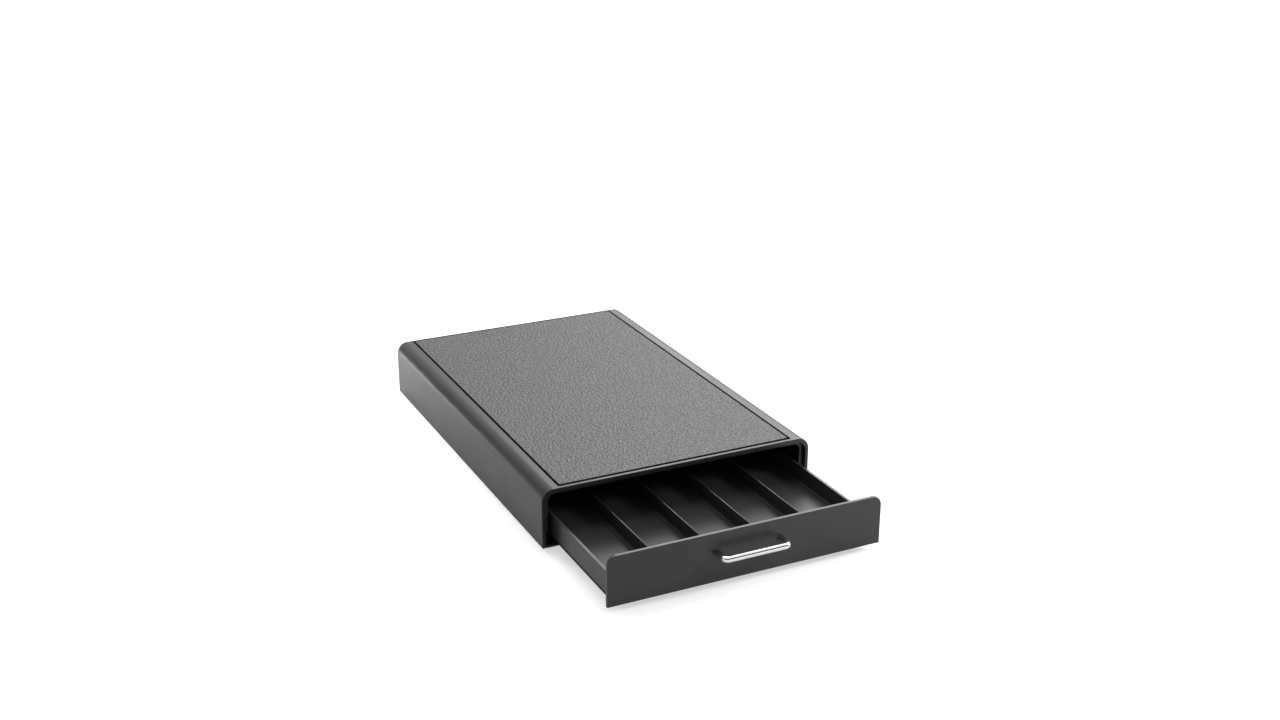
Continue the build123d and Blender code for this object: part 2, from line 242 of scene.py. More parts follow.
# %% [markdown]
# ## The housing's cover
# The cover is one moulding with walls three to four millimetres thick. Its two long top edges have a
# generous radius, while the rim of the mouth is almost sharp. A mat lies in a shallow recess in the
# top. A bevelled block is quick, but one bevel gives all its edges the same radius. So the skin is put
# together from sheets: the top frame between the recess and the edges, the two rounded sides, the
# rim, and the inside.

# %% The top frame round the mat's recess
RECESS_HALF, RECESS_FRONT, RECESS_BACK = 117.6, 3.5, 408.0
RECESS_DEEP, RECESS_CORNER = 2.2, 2.0
RECESS_FLOOR = HEIGHT - RECESS_DEEP
flat_half = HALF - EDGE


def corner_fan(edge_y, outer_y, toward):
    """A right corner: points on the recess's round corner, and their partners on the outer edges.

    The corner turns from +X to the direction toward (+1 back, -1 front). The first half of the
    partners runs along the side, the second half along the front or back edge.
    """
    cx, cy = RECESS_HALF - RECESS_CORNER, edge_y - toward * RECESS_CORNER
    inner = arc(cx, cy, RECESS_CORNER, 0, toward * 90, FAN)
    t = np.linspace(0, 2, FAN + 1)
    x = flat_half + (cx - flat_half) * np.clip(t - 1, 0, 1)
    y = cy + (outer_y - cy) * np.clip(t, 0, 1)
    return inner, np.stack([x, y], axis=-1)


front_in, front_out = corner_fan(RECESS_FRONT, 0.0, -1)
back_in, back_out = corner_fan(RECESS_BACK, DEPTH, 1)


def all_round(front, back):
    """A closed loop from its right front and right back corners, mirrored to the left."""
    return np.vstack([front * FLIP, front[::-1], back, (back * FLIP)[::-1]])


recess, edge_line = all_round(front_in, back_in), all_round(front_out, back_out)
top_rows = np.stack([level(recess, RECESS_FLOOR), level(recess, HEIGHT), level(edge_line, HEIGHT)])
top_sheets = [sheet(top_rows, closed=True), flat_end(top_rows[0])]
print("top frame:", top_rows.shape)

# %% The rounded sides, the rim of the mouth and the inside
side_ys = np.concatenate([front_out[FAN // 2::-1, 1], back_out[:FAN // 2 + 1, 1]])
side_line = np.vstack([[(-HALF, 0.0)], arc(EDGE - HALF, HEIGHT - EDGE, EDGE, 180, 90)])
left_side = np.stack([upright(side_line, y) for y in side_ys])
right_side = left_side * (-1, 1, 1)

shares = (front_out[FAN // 2 + 1:, 0] / flat_half).tolist()
outer_arch = arch(HALF, HEIGHT, EDGE, shares=shares)
inner_arch = arch(INNER_HALF, INNER_TOP, INNER_EDGE, shares=shares)
inside = np.stack([upright(outer_arch, 0), upright(inner_arch, 0), upright(inner_arch, REAR_INNER)])
back_shares = (back_out[FAN // 2 + 1:, 0] / flat_half).tolist()
back = upright(arch(HALF, HEIGHT, EDGE, shares=back_shares), DEPTH)

foot_in = np.array([(INNER_HALF, 0, 0), (INNER_HALF, REAR_INNER, 0)])
foot = np.vstack([left_side[:, 0], right_side[::-1, 0], foot_in, foot_in[::-1] * (-1, 1, 1)])
cover_sheets = top_sheets + [sheet(left_side), sheet(right_side), sheet(inside), flat_end(inside[2]),
                             flat_end(back), flat_end(foot)]
cover = skin("housing_cover", cover_sheets, housing_at, soften=0.45, steps=3)
belongs(cover, "housing", "housing_plastic", "housing_shell")

# %% [markdown]
# ## The ledge in the mouth and the ribs
# Four millimetres behind the rim stands a ledge that the closed panel meets; it is a rectangular
# profile carried along the arch. It stops above the slide rails. Low ribs stiffen the top from below.
# A boolean could fuse them with the cover, but it leaves slivers along each joint. Set a little into
# the cover's wall, they look the same as moulded on and stay clean.

# %% Ledge and ribs
SUNK = 0.2                              # how far an added feature runs into its wall
LEDGE_FRONT, LEDGE_BACK, LEDGE_FOOT = 4.0, 8.0, 13.5
LEDGE_WIDTH, LEDGE_DROP = 4.0, 3.0
RIB_PITCH, RIB_HALF, RIB_DEPTH = 45.0, 0.8, 3.0
RIB_XS = np.arange(-2, 3) * RIB_PITCH

wall_arch = arch(INNER_HALF + SUNK, INNER_TOP + SUNK, INNER_EDGE + SUNK, LEDGE_FOOT)
way_arch = arch(INNER_HALF - LEDGE_WIDTH, INNER_TOP - LEDGE_DROP, INNER_EDGE - LEDGE_DROP, LEDGE_FOOT)
ledge_rows = np.stack([upright(wall_arch, LEDGE_FRONT), upright(way_arch, LEDGE_FRONT),
                       upright(way_arch, LEDGE_BACK), upright(wall_arch, LEDGE_BACK)])
ledge = capped(np.swapaxes(ledge_rows, 0, 1))
ribs = [part for x in RIB_XS
        for part in block(x - RIB_HALF, x + RIB_HALF, LEDGE_BACK - SUNK, REAR_INNER + SUNK,
                          INNER_TOP - RIB_DEPTH, INNER_TOP + SUNK)]
fittings = skin("mouth_ledge_and_ribs", ledge + ribs, housing_at, soften=0.3)
belongs(fittings, "housing", "housing_plastic", "housing_shell")

# %% [markdown]
# ## The mat
# The mat is a thin plate with a pebble grain that keeps what stands on it from sliding. A dark groove
# runs all round it. The grain could be carved into the mesh, but that would take millions of faces,
# so it is left to the finish. The plate itself is a rounded rectangle whose upper edge is turned over
# in a small radius: each row of the grid is the outline, drawn in a little and raised a little.

# %% Mat
MAT_HALF, MAT_FRONT, MAT_BACK, MAT_TOP = 115.5, 6.5, 406.2, 55.7
MAT_CORNER, MAT_EDGE, MAT_EDGE_STEPS = 2.0, 0.25, 4


def mat_outline(inset, z):
    """The mat's outline, drawn in by inset, at height z: four quarter circles and straight sides."""
    half, front, rear = MAT_HALF - inset, MAT_FRONT + inset, MAT_BACK - inset
    corner = MAT_CORNER - inset
    quarter = arc(half - corner, 0, corner, 0, 90, FAN)
    right = np.vstack([quarter[::-1] * (1, -1) + (0, front + corner), quarter + (0, rear - corner)])
    return level(np.vstack([right, right[::-1] * FLIP]), z)


mat_rows = [mat_outline(0, RECESS_FLOOR)]
mat_rows += [mat_outline(MAT_EDGE - out, MAT_TOP - MAT_EDGE + up)
             for out, up in arc(0, 0, MAT_EDGE, 0, 90, MAT_EDGE_STEPS)]
mat = skin("grained_top_mat", capped(np.stack(mat_rows)), housing_at)
belongs(mat, "housing", "grained_mat", "top_mat")

# %% [markdown]
# ## The front panel
# The panel fills the mouth with a gap of about half a millimetre and has the mouth's own round upper
# corners. Its face is flat and its edge is softened, which draws a fine bright line along the top. A
# bevel modifier could soften it, but the line needs a true radius, and the mat's way gives that: the
# outline shrinks while it comes forward.

# %% Front panel
PANEL_HALF, PANEL_TOP, PANEL_BACK = 130.8, 51.0, 3.7
PANEL_CORNER, PANEL_EDGE, BACK_EDGE, PANEL_EDGE_STEPS = 8.8, 0.6, 0.25, 5


def panel_outline(inset, y):
    """The panel's outline, drawn in by inset, in the plane y."""
    return upright(arch(PANEL_HALF - inset, PANEL_TOP - inset, PANEL_CORNER - inset,
                        PANEL_LOW + inset), y)


panel_rows = [panel_outline(BACK_EDGE, PANEL_BACK), panel_outline(0, PANEL_BACK - BACK_EDGE)]
panel_rows += [panel_outline(PANEL_EDGE - out, PANEL_RECESS + PANEL_EDGE - forward)
               for out, forward in arc(0, 0, PANEL_EDGE, 0, 90, PANEL_EDGE_STEPS)]
panel = skin("drawer_front", capped(np.stack(panel_rows)), drawer_at)
belongs(panel, "drawer", "panel_plastic", "front_panel")

# %% [markdown]
# ## The handle
# A real one is a die-cast bow, polished and plated: a bar with two feet, rounded towards the hand and
# nearly flat behind. It is a section carried along a path. Blender's curve with a bevel object does
# that too, but may twist the section in a bend. Here the section's width lies along the path's normal
# and its height along Z at every point, so it never twists.

# %% Handle
BAR_DEEP, BAR_TALL, BAR_ROUND, BAR_BACK = 5.0, 5.6, 2.5, 0.8
LEG_X, BAR_Y, BAR_Z, BEND = 30.8, -13.7, 32.5, 4.5
ROUND_STEPS, BACK_STEPS = 10, 4         # facets in the section's large and small corners


def bow_path():
    """Points and outward normals from the left foot, round two bends, to the right foot."""
    left = np.vstack([[(-LEG_X, PANEL_RECESS)], arc(BEND - LEG_X, BAR_Y + BEND, BEND, 180, 270)])
    out = np.vstack([[(-1, 0)], arc(0, 0, 1, 180, 270)])
    return np.vstack([left, (left * FLIP)[::-1]]), np.vstack([out, (out * FLIP)[::-1]])


def bar_section():
    """A rounded rectangle as (outwards, up): large radii on the outer side, small ones inside."""
    w, h, r, b = BAR_DEEP / 2, BAR_TALL / 2, BAR_ROUND, BAR_BACK
    return np.vstack([arc(w - r, h - r, r, 0, 90, ROUND_STEPS),
                      arc(b - w, h - b, b, 90, 180, BACK_STEPS),
                      arc(b - w, b - h, b, 180, 270, BACK_STEPS),
                      arc(w - r, r - h, r, 270, 360, ROUND_STEPS)])


path, normal = bow_path()
section = bar_section()
flat = path[:, None] + section[None, :, :1] * normal[:, None]
height = np.broadcast_to(BAR_Z + section[None, :, 1:], flat.shape[:2] + (1,))
bow = np.concatenate([flat, height], axis=-1)
handle = skin("bow_handle", capped(bow), drawer_at)
belongs(handle, "drawer", "bright_chrome", "handle")

# %% [markdown]
# ## The tray
# The tray is an open box with a raised floor. Its front and rear walls have slots for the dividers,
# and the front wall has two round notches for the handle's screws. Booleans could cut them. But seen
# from above, the wall is a strip between an inner and an outer outline, and each column of the grid
# joins a point on one to its partner on the other, so slots and notches are only more columns.

# %% The tray's sizes
TRAY_HALF, TRAY_FRONT, TRAY_REAR, TRAY_LOW, RIM = 125.0, PANEL_BACK, 381.5, 10.4, 30.5
TRAY_WALL, TRAY_FRONT_WALL = 2.5, 2.7
IN_HALF, IN_FRONT, IN_REAR = TRAY_HALF - TRAY_WALL, TRAY_FRONT + TRAY_FRONT_WALL, TRAY_REAR - TRAY_WALL
FLOOR_UNDER, FLOOR = 13.6, 15.6
FRONT_CORNER, REAR_CORNER, IN_CORNER = 0.5, 3.0, 0.6
COLUMN_PITCH = 49.28                    # from the middle of one column to the next
COLUMN_XS, DIVIDER_XS = np.arange(-2, 3) * COLUMN_PITCH, np.arange(-1.5, 2) * COLUMN_PITCH
SLOT, SLOT_DEEP, SPREAD = 0.8, 1.0, 0.4     # half a slot's width, its depth, its partners' spread
NOTCH, NOTCH_COLUMNS = 3.5, 17          # radius of the notches, and the columns across one
print("columns at", COLUMN_XS, "dividers at", DIVIDER_XS)

# %% The tray's outlines
INNER_X, OUTER_X = 0, 2                 # where a row of columns keeps its two x values


def slot_columns(x):
    """Four columns for one slot: inner x and depth, and the outer partner's x."""
    return np.array([(x - SLOT, 0, x - SLOT - SPREAD), (x - SLOT, SLOT_DEEP, x - SLOT),
                     (x + SLOT, SLOT_DEEP, x + SLOT), (x + SLOT, 0, x + SLOT + SPREAD)])


def notch_columns(x):
    """Columns across one round notch, where the rim dips along a circle."""
    reach = np.sqrt(NOTCH ** 2 - (BAR_Z - RIM) ** 2)
    across = x + reach * np.cos(np.linspace(np.pi, 0, NOTCH_COLUMNS))
    return np.column_stack([across, np.zeros(NOTCH_COLUMNS), across])


features = [slot_columns(x) for x in DIVIDER_XS] + [notch_columns(x) for x in (-LEG_X, LEG_X)]
near_wall = np.vstack(sorted(features, key=lambda f: f[0, 0]))
far_wall = np.vstack([slot_columns(x) for x in DIVIDER_XS])[::-1]


def tray_loop(half, front, rear, front_corner, rear_corner, which, deep):
    """A closed outline: front wall, right side, rear wall, left side, with round corners.

    which picks the columns' x, INNER_X or OUTER_X; deep is how far the slots are cut, 0 or 1.
    """
    near = np.column_stack([near_wall[:, which], front - deep * near_wall[:, 1]])
    far = np.column_stack([far_wall[:, which], rear + deep * far_wall[:, 1]])
    corners = [arc(half - front_corner, front + front_corner, front_corner, -90, 0, FAN),
               arc(half - rear_corner, rear - rear_corner, rear_corner, 0, 90, FAN)]
    mirrored = [(c * FLIP)[::-1] for c in corners]
    return np.vstack([near, *corners, far, *mirrored[::-1]])


inner = tray_loop(IN_HALF, IN_FRONT, IN_REAR, IN_CORNER, IN_CORNER, INNER_X, 1)
outer = tray_loop(TRAY_HALF, TRAY_FRONT, TRAY_REAR, FRONT_CORNER, REAR_CORNER, OUTER_X, 0)
skirt = tray_loop(IN_HALF, IN_FRONT, IN_REAR, IN_CORNER, IN_CORNER, OUTER_X, 0)
# The rim is level, except where the circle round a handle screw reaches below it.
from_leg = np.abs(np.abs(inner[:, 0]) - LEG_X)
dip = np.sqrt(np.maximum(NOTCH ** 2 - from_leg ** 2, 0))
rim = np.minimum(RIM, BAR_Z - dip)
print("tray outlines:", inner.shape, outer.shape, "lowest rim", rim.min().round(2))

# %% The tray's skin, its guides, ribs and screw bosses
walls = np.stack([level(inner, FLOOR), level(inner, rim), level(outer, rim), level(outer, TRAY_LOW),
                  level(skirt, TRAY_LOW), level(skirt, FLOOR_UNDER)])
tray_sheets = capped(walls)

GUIDE_IN, GUIDE_WIDE, GUIDE_HIGH = 19.2, 1.5, 1.0
for middle in COLUMN_XS:
    for x in (middle - GUIDE_IN - GUIDE_WIDE, middle + GUIDE_IN):
        tray_sheets += block(x, x + GUIDE_WIDE, IN_FRONT - SUNK, IN_REAR + SUNK,
                             FLOOR - SUNK, FLOOR + GUIDE_HIGH)
UNDER_HALF, UNDER_COUNT = 0.75, 5       # ribs under the floor: half their width, and those across
for x in DIVIDER_XS:
    tray_sheets += block(x - UNDER_HALF, x + UNDER_HALF, IN_FRONT - SUNK, IN_REAR + SUNK,
                         TRAY_LOW, FLOOR_UNDER + SUNK)
for y in np.linspace(IN_FRONT, IN_REAR, UNDER_COUNT + 2)[1:-1]:
    tray_sheets += block(-IN_HALF - SUNK, IN_HALF + SUNK, y - UNDER_HALF, y + UNDER_HALF,
                         TRAY_LOW, FLOOR_UNDER + SUNK)
BOSS_X, BOSS_RADIUS, BOSS_SIDES = 120.1, 3.0, 32
RUNNER_SCREW_IN, RUNNER_SCREW_COUNT = 20, 4
runner_screw_ys = np.linspace(TRAY_FRONT + RUNNER_SCREW_IN, TRAY_REAR - RUNNER_SCREW_IN,
                              RUNNER_SCREW_COUNT)
for y in runner_screw_ys:
    for x in (-BOSS_X, BOSS_X):
        tray_sheets += turned([(BOSS_RADIUS, TRAY_LOW), (BOSS_RADIUS, FLOOR_UNDER + SUNK)], x, y,
                              BOSS_SIDES)
tray = skin("sliding_tray", tray_sheets, drawer_at, soften=0.35)
belongs(tray, "drawer", "tray_plastic", "drawer_tray")

# %% [markdown]
# ## The runners
# A flat strip is screwed under each side of the tray, and its outer edge slides in the rail's groove.
# The stretch that shows when the drawer stands open is flush with the tray's side; the strip reaches
# out only behind it. It could be drawn anew, but the CAD strip has the right thickness, stop and screw
# holes, so its mesh is copied, cut across twice, and drawn in: no point may lie further from the
# middle than a limit, which is the tray's side up to the first cut and rises in a straight line to the
# full reach at the second.

# %% Runners
FLUSH_TO, WIDE_FROM, REACH = 142.0, 146.0, 128.8        # the two cuts, and the full reach


def drawn_in(name, node):
    """A copy of a CAD runner with its front stretch drawn in to the tray's side."""
    work = bmesh.new()
    work.from_mesh(frame["nodes"][node].data)
    bmesh.ops.remove_doubles(work, verts=work.verts, dist=WELD)
    for y in (FLUSH_TO, WIDE_FROM):
        bmesh.ops.bisect_plane(work, geom=work.verts[:] + work.edges[:] + work.faces[:],
                               plane_co=(0, (y + drawer_at[1]) * MM, 0), plane_no=(0, 1, 0))
    bmesh.ops.triangulate(work, faces=work.faces)
    cut = bpy.data.meshes.new(node + "_cut")
    work.to_mesh(cut)
    work.free()
    points, faces = np.empty(len(cut.vertices) * 3), np.empty(len(cut.polygons) * 3, np.int32)
    cut.vertices.foreach_get("co", points)
    cut.polygons.foreach_get("vertices", faces)
    bpy.data.meshes.remove(cut)
    points = points.reshape(-1, 3) / MM
    limit = np.interp(points[:, 1] - drawer_at[1], (FLUSH_TO, WIDE_FROM), (TRAY_HALF, REACH))
    points[:, 0] = np.clip(points[:, 0], -limit, limit)
    made = skin(name, [(points, faces.reshape(-1, 3))], origin=0)
    made.data.set_sharp_from_angle(angle=SHARP)
    made.modifiers["even shading"].keep_sharp = True
    return made


for hand in ("left", "right"):
    belongs(drawn_in(f"{hand}_slide_strip", f"{hand}_runner"), "drawer", "slide_plastic",
            f"{hand}_runner")

# %% [markdown]
# ## The dividers
# Four thin glossy strips stand in the tray's slots. Only their upper edges catch the light, so that
# edge is nearly a half-round. A scaled cube with a bevel would do from afar, but the arch from above
# already is the right section, and it is carried straight from the front wall to the rear wall.

# %% Dividers
STRIP_HALF, STRIP_HIGH, STRIP_REACH, STRIP_ROUND = 0.7, 12.9, 0.9, 0.6


def strip(x):
    """One divider: an upright strip with a rounded top, from slot to slot."""
    outline = arch(STRIP_HALF, FLOOR + STRIP_HIGH, STRIP_ROUND, FLOOR) + (x, 0)
    ends = (IN_FRONT - STRIP_REACH, IN_REAR + STRIP_REACH)
    return capped(np.stack([upright(outline, y) for y in ends]))


for number, x in enumerate(DIVIDER_XS, start=1):
    belongs(skin(f"glossy_divider_{number}", strip(x), drawer_at), "drawer", "divider_plastic",
            f"divider_{number}")

# %% [markdown]
# ## The feet
# Four rubber pads are stuck under the base plate. A moulded pad has a soft lower edge and a shallow
# dish in its middle that lets it grip. A short cylinder would do from above, but has neither. One
# profile turned about an upright axis gives the edge and the dish at once.

# %% Feet
FOOT_RADIUS, FOOT_HIGH, FOOT_IN, FOOT_ROUND = 7.0, 2.0, 18.0, 0.6
DISH = [(5.0, 0.0), (4.6, 0.1), (4.2, 0.35), (0.4, 0.4)]    # radius, and height over the worktop
foot_edge = arc(FOOT_RADIUS - FOOT_ROUND, FOOT_ROUND - FOOT_HIGH, FOOT_ROUND, 0, -90, FAN)
foot_profile = np.vstack([[(FOOT_RADIUS, 0.0)], foot_edge, np.array(DISH) - (0, FOOT_HIGH)])
for end, y in (("front", FOOT_IN), ("rear", DEPTH - FOOT_IN)):
    for hand, side in (("left", -1), ("right", 1)):
        pad = skin(f"rubber_{end}_{hand}_foot", turned(foot_profile, side * (HALF - FOOT_IN), y),
                   housing_at)
        belongs(pad, "housing", "foot_rubber", f"{end}_{hand}_foot")

# %% [markdown]
# ## The screws
# Every screw has a cross in its head. A boolean with a cross-shaped cutter would do, once for each
# screw. But seen along its axis a head is a round height field: the depth of the cross depends on the
# radius and the angle alone. The field is a polar grid, and the shank is more rows of the same grid.
# One screw is worked out, and then placed many times at once.

# %% The cross in a head
CROSS_BAR, CROSS_END, CROSS_DEEP = 0.17, 0.62, 0.5      # half a bar's width, its end, its depth
CROSS_FLANK, CROSS_RAMP = 0.4, 0.2                      # how gently its flanks and ends rise


def cross_depth(radius, angle, reach):
    """Depth of a cross recess, all its sizes being shares of the head's reach.

    near is the distance to the nearer bar's middle line. The depth is full within the bars, falls to
    nothing over their flanks and towards their ends, and shrinks evenly away from the middle.
    """
    bar = CROSS_BAR * reach
    near = np.minimum(np.abs(radius * np.cos(angle)), np.abs(radius * np.sin(angle)))
    side = np.clip((bar - near) / (CROSS_FLANK * bar) + 0.5, 0, 1)
    end = np.clip((CROSS_END * reach - radius) / (CROSS_RAMP * reach), 0, 1)
    return side * end * CROSS_DEEP * reach * (1 - 0.5 * radius / reach)


print("a cross in a head of 2 mm is", cross_depth(0.0, 0.0, 2.0), "mm deep")

# %% One screw, and many
HEAD_RINGS, CORE = 16, 0.04             # rings across a head, and the innermost as a share of it
SHANK, TIP, TIP_LONG = 1.25, 0.7, 0.6   # radii of the thin screws' shank and tip, and its taper
HEAD, HEAD_FACE, HEAD_TALL = 2.2, 2.1, 1.2      # a countersunk head's radii and height


def screw(head, reach):
    """A screw standing on its head: head is a profile of (radius, z) out and up to the tip."""
    angle = np.linspace(0, 2 * np.pi, SIDES, endpoint=False)
    radii = np.linspace(CORE, 1, HEAD_RINGS)[:, None] * head[0][0]
    face = rings(radii, angle, head[0][1] + cross_depth(radii, angle, reach))
    radius, z = np.asarray(head[1:], float).T[:, :, None]
    return capped(np.vstack([face, rings(radius, angle, z)]))


def flat_head(length):
    """Countersunk: a cone from the face at z = 0 down to the shank."""
    return screw([(HEAD_FACE, 0.05), (HEAD, 0.12), (SHANK, HEAD_TALL), (SHANK, length - TIP_LONG),
                  (TIP, length)], HEAD_FACE)


def pan_head(radius, tall, shank, length):
    """Pan head: a low dome under z = 0, then the shank above."""
    return screw([(0.6 * radius, -tall), (0.85 * radius, -0.8 * tall), (radius, -0.4 * tall),
                  (radius, -0.05), (shank, 0), (shank, length - TIP_LONG), (0.6 * shank, length)],
                 0.62 * radius)


def placed(sheets, spots, turn):
    """The same sheets at every spot, turned by a 3 by 3 matrix."""
    return [(points @ np.array(turn, float).T + spot, faces) for spot in spots
            for points, faces in sheets]


print("flat head screw:", sum(len(points) for points, _ in flat_head(6.0)), "points")

# %% All the screws
UP, FORWARD = np.eye(3), [(1, 0, 0), (0, 0, -1), (0, 1, 0)]     # which way the shank points
TO_RIGHT, TO_LEFT = [(0, 0, 1), (0, 1, 0), (-1, 0, 0)], [(0, 0, -1), (0, 1, 0), (1, 0, 0)]
RAIL_SCREW_X, TAB_X, TAB_Z = 128.65, 129.5, 17.7
RUNNER_LOW, PANEL_SCREW_Z = 8.0, 23.6
rail_screw_ys = np.linspace(38.0, 366.5, 3)     # from the first screw in a rail to the last


def in_pairs(x, ys, z):
    """Places in two rows, left and right."""
    return [(side * x, y, z) for y in ys for side in (-1, 1)]


def fasteners(name, sheets, origin, body):
    """One object for a group of like screws, which stands for the CAD node of that name."""
    belongs(skin("cross_head_" + name, sheets, origin), body, "screw_steel", name)


base_spots = in_pairs(RAIL_SCREW_X, rail_screw_ys, 0.0)
fasteners("base_screws", placed(flat_head(length=6.0), base_spots, UP), housing_at, "housing")

tab_screw = pan_head(radius=2.5, tall=1.4, shank=SHANK, length=4.4)
rail_screws = placed(tab_screw, [(TAB_X, y, TAB_Z) for y in rail_screw_ys], TO_RIGHT)
rail_screws += placed(tab_screw, [(-TAB_X, y, TAB_Z) for y in rail_screw_ys], TO_LEFT)
fasteners("rail_screws", rail_screws, housing_at, "housing")

runner_spots = in_pairs(BOSS_X, runner_screw_ys, RUNNER_LOW)
fasteners("runner_screws", placed(flat_head(length=6.6), runner_spots, UP), drawer_at, "drawer")

panel_spots = [(x, IN_FRONT, PANEL_SCREW_Z) for x in COLUMN_XS if abs(x) > LEG_X]
fasteners("panel_screws", placed(flat_head(length=5.1), panel_spots, FORWARD), drawer_at, "drawer")

leg_screw = pan_head(radius=2.9, tall=2.0, shank=1.5, length=11.4)
leg_spots = [(x, PANEL_BACK, BAR_Z) for x in (-LEG_X, LEG_X)]
fasteners("handle_screws", placed(leg_screw, leg_spots, FORWARD), drawer_at, "drawer")

# %% [markdown]
# ## How a finish is built
# Each finish is a short chain of nodes that starts at the Object coordinates, which are metres here,
# so a noise scale of 400 means cells of about two and a half millimetres. Photographs of a surface
# could be wrapped round the pieces instead, but they need an unwrapped mesh and show their seams. A
# value that is the same all over goes straight onto the shader. Only what varies, such as tone,
# roughness and relief, is linked.

# %% A finish and its nodes
def new_finish(name, base, **sockets):
    """A material with one Principled shader; base is its colour, sockets are its even values."""
    finish = bpy.data.materials.new(name)
    finish.use_nodes = True
    tree = finish.node_tree
    shader = tree.nodes["Principled BSDF"]
    shader.inputs["Base Color"].default_value = (*base, 1)
    for socket, value in sockets.items():
        shader.inputs[socket.replace("_", " ")].default_value = value
    place = tree.nodes.new("ShaderNodeTexCoord").outputs["Object"]
    return finish, tree, shader, place


def add(tree, kind, links=(), settings=(), **values):
    """A node with its settings, its plain input values and its links, given by input name."""
    node = tree.nodes.new("ShaderNode" + kind)
    for key, value in dict(settings).items():
        setattr(node, key, value)
    for key, value in values.items():
        node.inputs[key.replace("_", " ")].default_value = value
    for key, source in dict(links).items():
        tree.links.new(source, node.inputs[key])
    return node


print("a noise scale of 400 means cells of", 1000 / 400, "mm")

# %% Tone, roughness and relief
def spread(tree, source, low, high, start=0.35, end=0.65):
    """A noise value stretched from (start, end) to (low, high)."""
    return add(tree, "MapRange", {"Value": source}, From_Min=start, From_Max=end, To_Min=low,
               To_Max=high).outputs["Result"]


def tint(tree, source, dark, light):
    """Two tones mixed by a value between 0 and 1."""
    node = add(tree, "Mix", {"Factor": source}, {"data_type": "RGBA"})
    node.inputs[6].default_value, node.inputs[7].default_value = (*dark, 1), (*light, 1)
    return node.outputs[2]


def raise_surface(tree, shader, height, relief):
    """Bump: height 0 to 1 stands for relief millimetres."""
    bump = add(tree, "Bump", {"Height": height}, Strength=1.0, Distance=relief * MM)
    tree.links.new(bump.outputs["Normal"], shader.inputs["Normal"])


def grained(tree, shader, place, tones, gloss, slow, fine, relief):
    """Slow noise mixes two tones and sets the roughness (gloss is low, high); fine noise is relief.

    slow and fine are pairs of scale and detail, and relief is in millimetres.
    """
    drift = add(tree, "TexNoise", {"Vector": place}, Scale=slow[0], Detail=slow[1]).outputs["Fac"]
    grain = add(tree, "TexNoise", {"Vector": place}, Scale=fine[0], Detail=fine[1]).outputs["Fac"]
    tree.links.new(tint(tree, spread(tree, drift, 0, 1), *tones), shader.inputs["Base Color"])
    tree.links.new(spread(tree, drift, *gloss), shader.inputs["Roughness"])
    raise_surface(tree, shader, grain, relief)


print("a relief of 0.5 mm is a bump distance of", 0.5 * MM, "m")

# %% [markdown]
# ## Moulded plastic
# The housing, panel and tray are black plastic with a satin mould finish. Close up, such a surface
# is a very fine, even grain from spark erosion, with slow changes in gloss where the plastic flowed.
# One flat colour would look like a drawing. A fine noise gives the grain, and a slow one changes tone
# and roughness by a few percent. The dividers are polished, so they are glossier, and the strips that
# slide are dull and dry, so they hardly shine at all.

# %% Plastics
def moulded(name, dark, light, gloss, grain=2600.0, relief=0.012, shine=0.5):
    """Plastic from dark to light; gloss is its roughness, grain the scale of its fine noise.

    shine is the specular level: 0.5 for bare plastic, less for a dry or greased surface.
    """
    finish, tree, shader, place = new_finish(name, dark, IOR=1.5, Specular_IOR_Level=shine)
    grained(tree, shader, place, (dark, light), gloss, (14.0, 3.0), (grain, 2.0), relief)
    return finish


finishes = {
    "housing_plastic": moulded("satin black housing", dark=(0.011, 0.010, 0.013),
                               light=(0.014, 0.013, 0.0165), gloss=(0.30, 0.36)),
    "panel_plastic": moulded("satin charcoal panel", dark=(0.023, 0.020, 0.021),
                             light=(0.028, 0.025, 0.026), gloss=(0.285, 0.33)),
    "tray_plastic": moulded("satin black tray", dark=(0.020, 0.020, 0.022),
                            light=(0.025, 0.025, 0.027), gloss=(0.30, 0.36)),
    "divider_plastic": moulded("glossy divider", dark=(0.020, 0.020, 0.022),
                               light=(0.026, 0.026, 0.028), gloss=(0.10, 0.16), relief=0.003),
    "slide_plastic": moulded("smooth slide plastic", dark=(0.007, 0.007, 0.008),
                             light=(0.010, 0.010, 0.011), gloss=(0.40, 0.48), relief=0.004, shine=0.05),
}
print("plastics:", sorted(finishes))

# %% [markdown]
# ## The mat's pebble grain
# The grain is a field of soft, rounded pebbles about two millimetres across, no two alike. Plain noise
# would give hills and valleys without edges. Cells from a smooth Voronoi pattern give the pebbles; the
# coordinates are first pushed about by noise so that their edges are not straight. A finer noise
# roughens their tops. Valleys are painted darker than tops, as shade in the hollows, and are duller,
# as on a mat that hands have polished.

# %% Grained mat
PEBBLE, PEBBLE_HIGH = 2.2, 0.55         # mm from one pebble to the next, and their height
PUSH_SPAN, PUSH_REACH = 1.6, 0.9        # the noise that pushes them, in pebbles: its size and reach
SOFTNESS, TOP_GRAIN = 0.6, 0.12         # of the pebbles' borders, and of the noise on their tops


